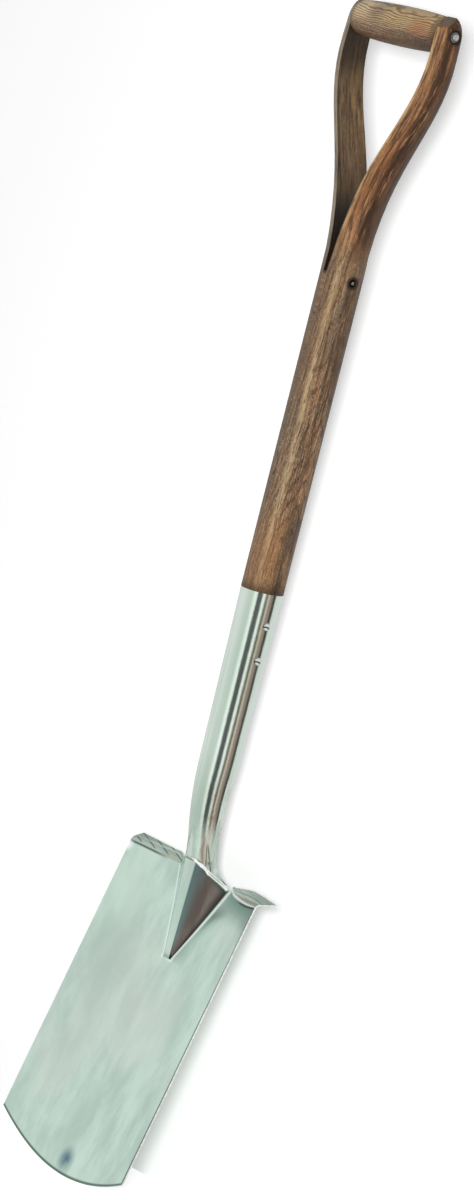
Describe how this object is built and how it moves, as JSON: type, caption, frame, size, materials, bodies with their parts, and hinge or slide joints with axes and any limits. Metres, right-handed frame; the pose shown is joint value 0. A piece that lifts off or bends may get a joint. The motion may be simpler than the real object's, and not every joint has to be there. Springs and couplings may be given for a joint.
{
  "type": "digging spade",
  "caption": "Digging spade with a polished dished steel blade, folded treads and a tapered socket, on an ash shaft split into a wishbone with a turned cross grip.",
  "frame": {"origin": "centre of the hand grip, on the shaft's axis", "axes": "+Z along the shaft, from the blade up to the grip; -Y is the spade's front, where its ridge stands out; X runs across the blade and along the grip"},
  "size_m": [0.2024, 0.0814, 1.0108],
  "materials": {
    "polished_steel": "mirror polished stainless steel",
    "rivet_steel": "dull steel",
    "washer_steel": "bright zinc plated steel",
    "shaft_ash": "weathered, oiled ash",
    "grip_ash": "weathered ash, worn smooth by hands"
  },
  "bodies": {
    "root": {"blade": "polished_steel", "socket": "polished_steel", "socket_weld": "polished_steel", "shaft": "shaft_ash", "grip": "grip_ash", "grip_rod": "rivet_steel", "grip_washer_left": "washer_steel", "grip_washer_right": "washer_steel", "fork_rivet": "rivet_steel", "upper_socket_rivet": "polished_steel", "lower_socket_rivet": "polished_steel"}
  },
  "joints": []
}
